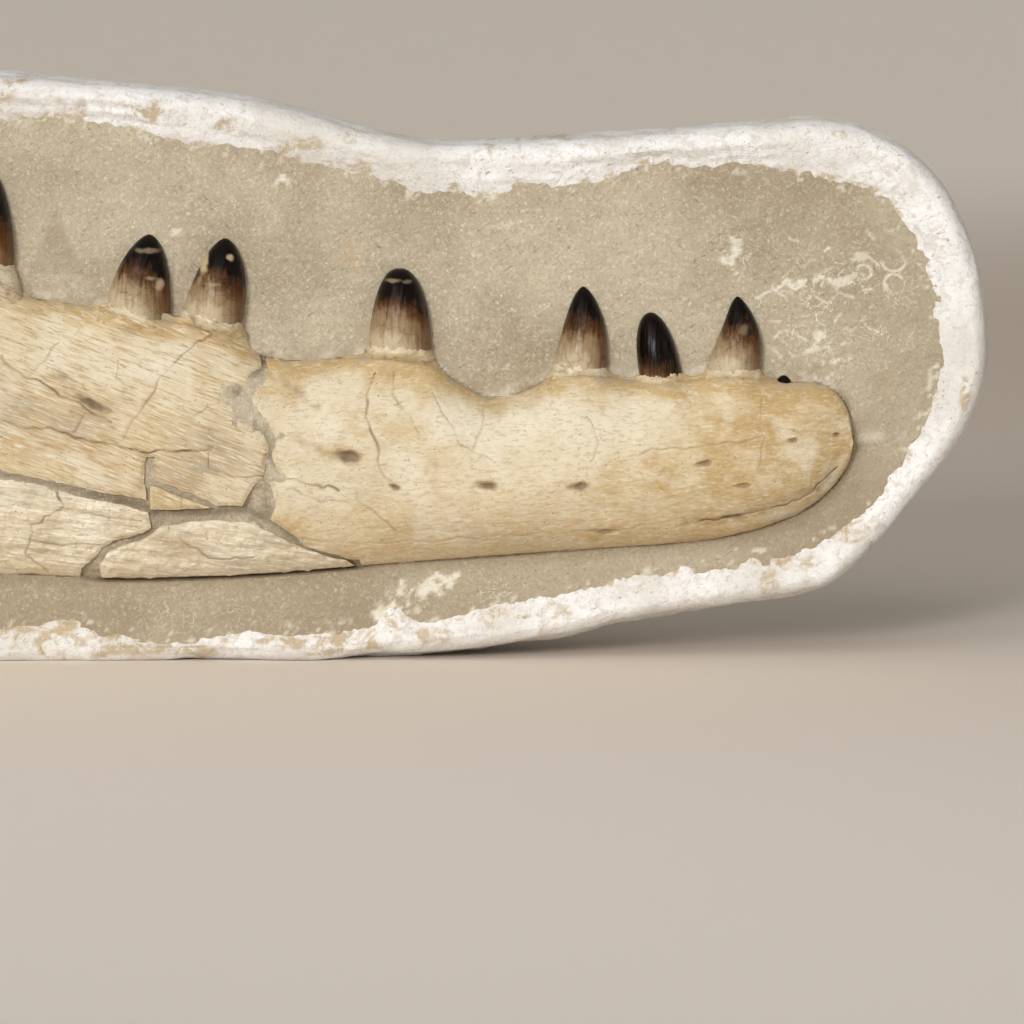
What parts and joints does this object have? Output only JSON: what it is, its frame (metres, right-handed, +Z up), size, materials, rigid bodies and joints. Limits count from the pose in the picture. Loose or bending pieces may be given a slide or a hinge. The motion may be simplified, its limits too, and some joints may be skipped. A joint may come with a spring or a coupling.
{
  "type": "fossil mosasaur jaw",
  "caption": "Lower jaw of a mosasaur in relief, dark teeth on cream bone, in a sediment block held by a white plaster field jacket that stands on its lower edge.",
  "frame": {"origin": "centre of the box round the whole part, at its base, where the jacket stands", "axes": "+X along the jaw to its front tip, -Y the way the fossil faces, +Z up"},
  "size_m": [1.0963, 0.121, 0.3291],
  "materials": {
    "plaster": "matt white plaster over burlap, lumpy, with tan flecks of sediment",
    "sediment": "fine grey-tan phosphatic sediment, scraped, matt",
    "bone": "cream to ochre fossil bone, fibrous grain, satin",
    "pale_bone": "paler, flaked fossil bone with brown stains, satin",
    "enamel": "glossy tooth enamel, near black at the tip through brown to cream at the base"
  },
  "bodies": {
    "root": {"jacket": "plaster", "sediment": "sediment", "dentary_front": "bone", "dentary_rear": "bone", "dentary_splinter": "bone", "splenial_front": "pale_bone", "splenial_rear": "pale_bone", "angular": "bone", "surangular": "bone", "coronoid": "bone", "articular": "bone"}
  },
  "joints": []
}
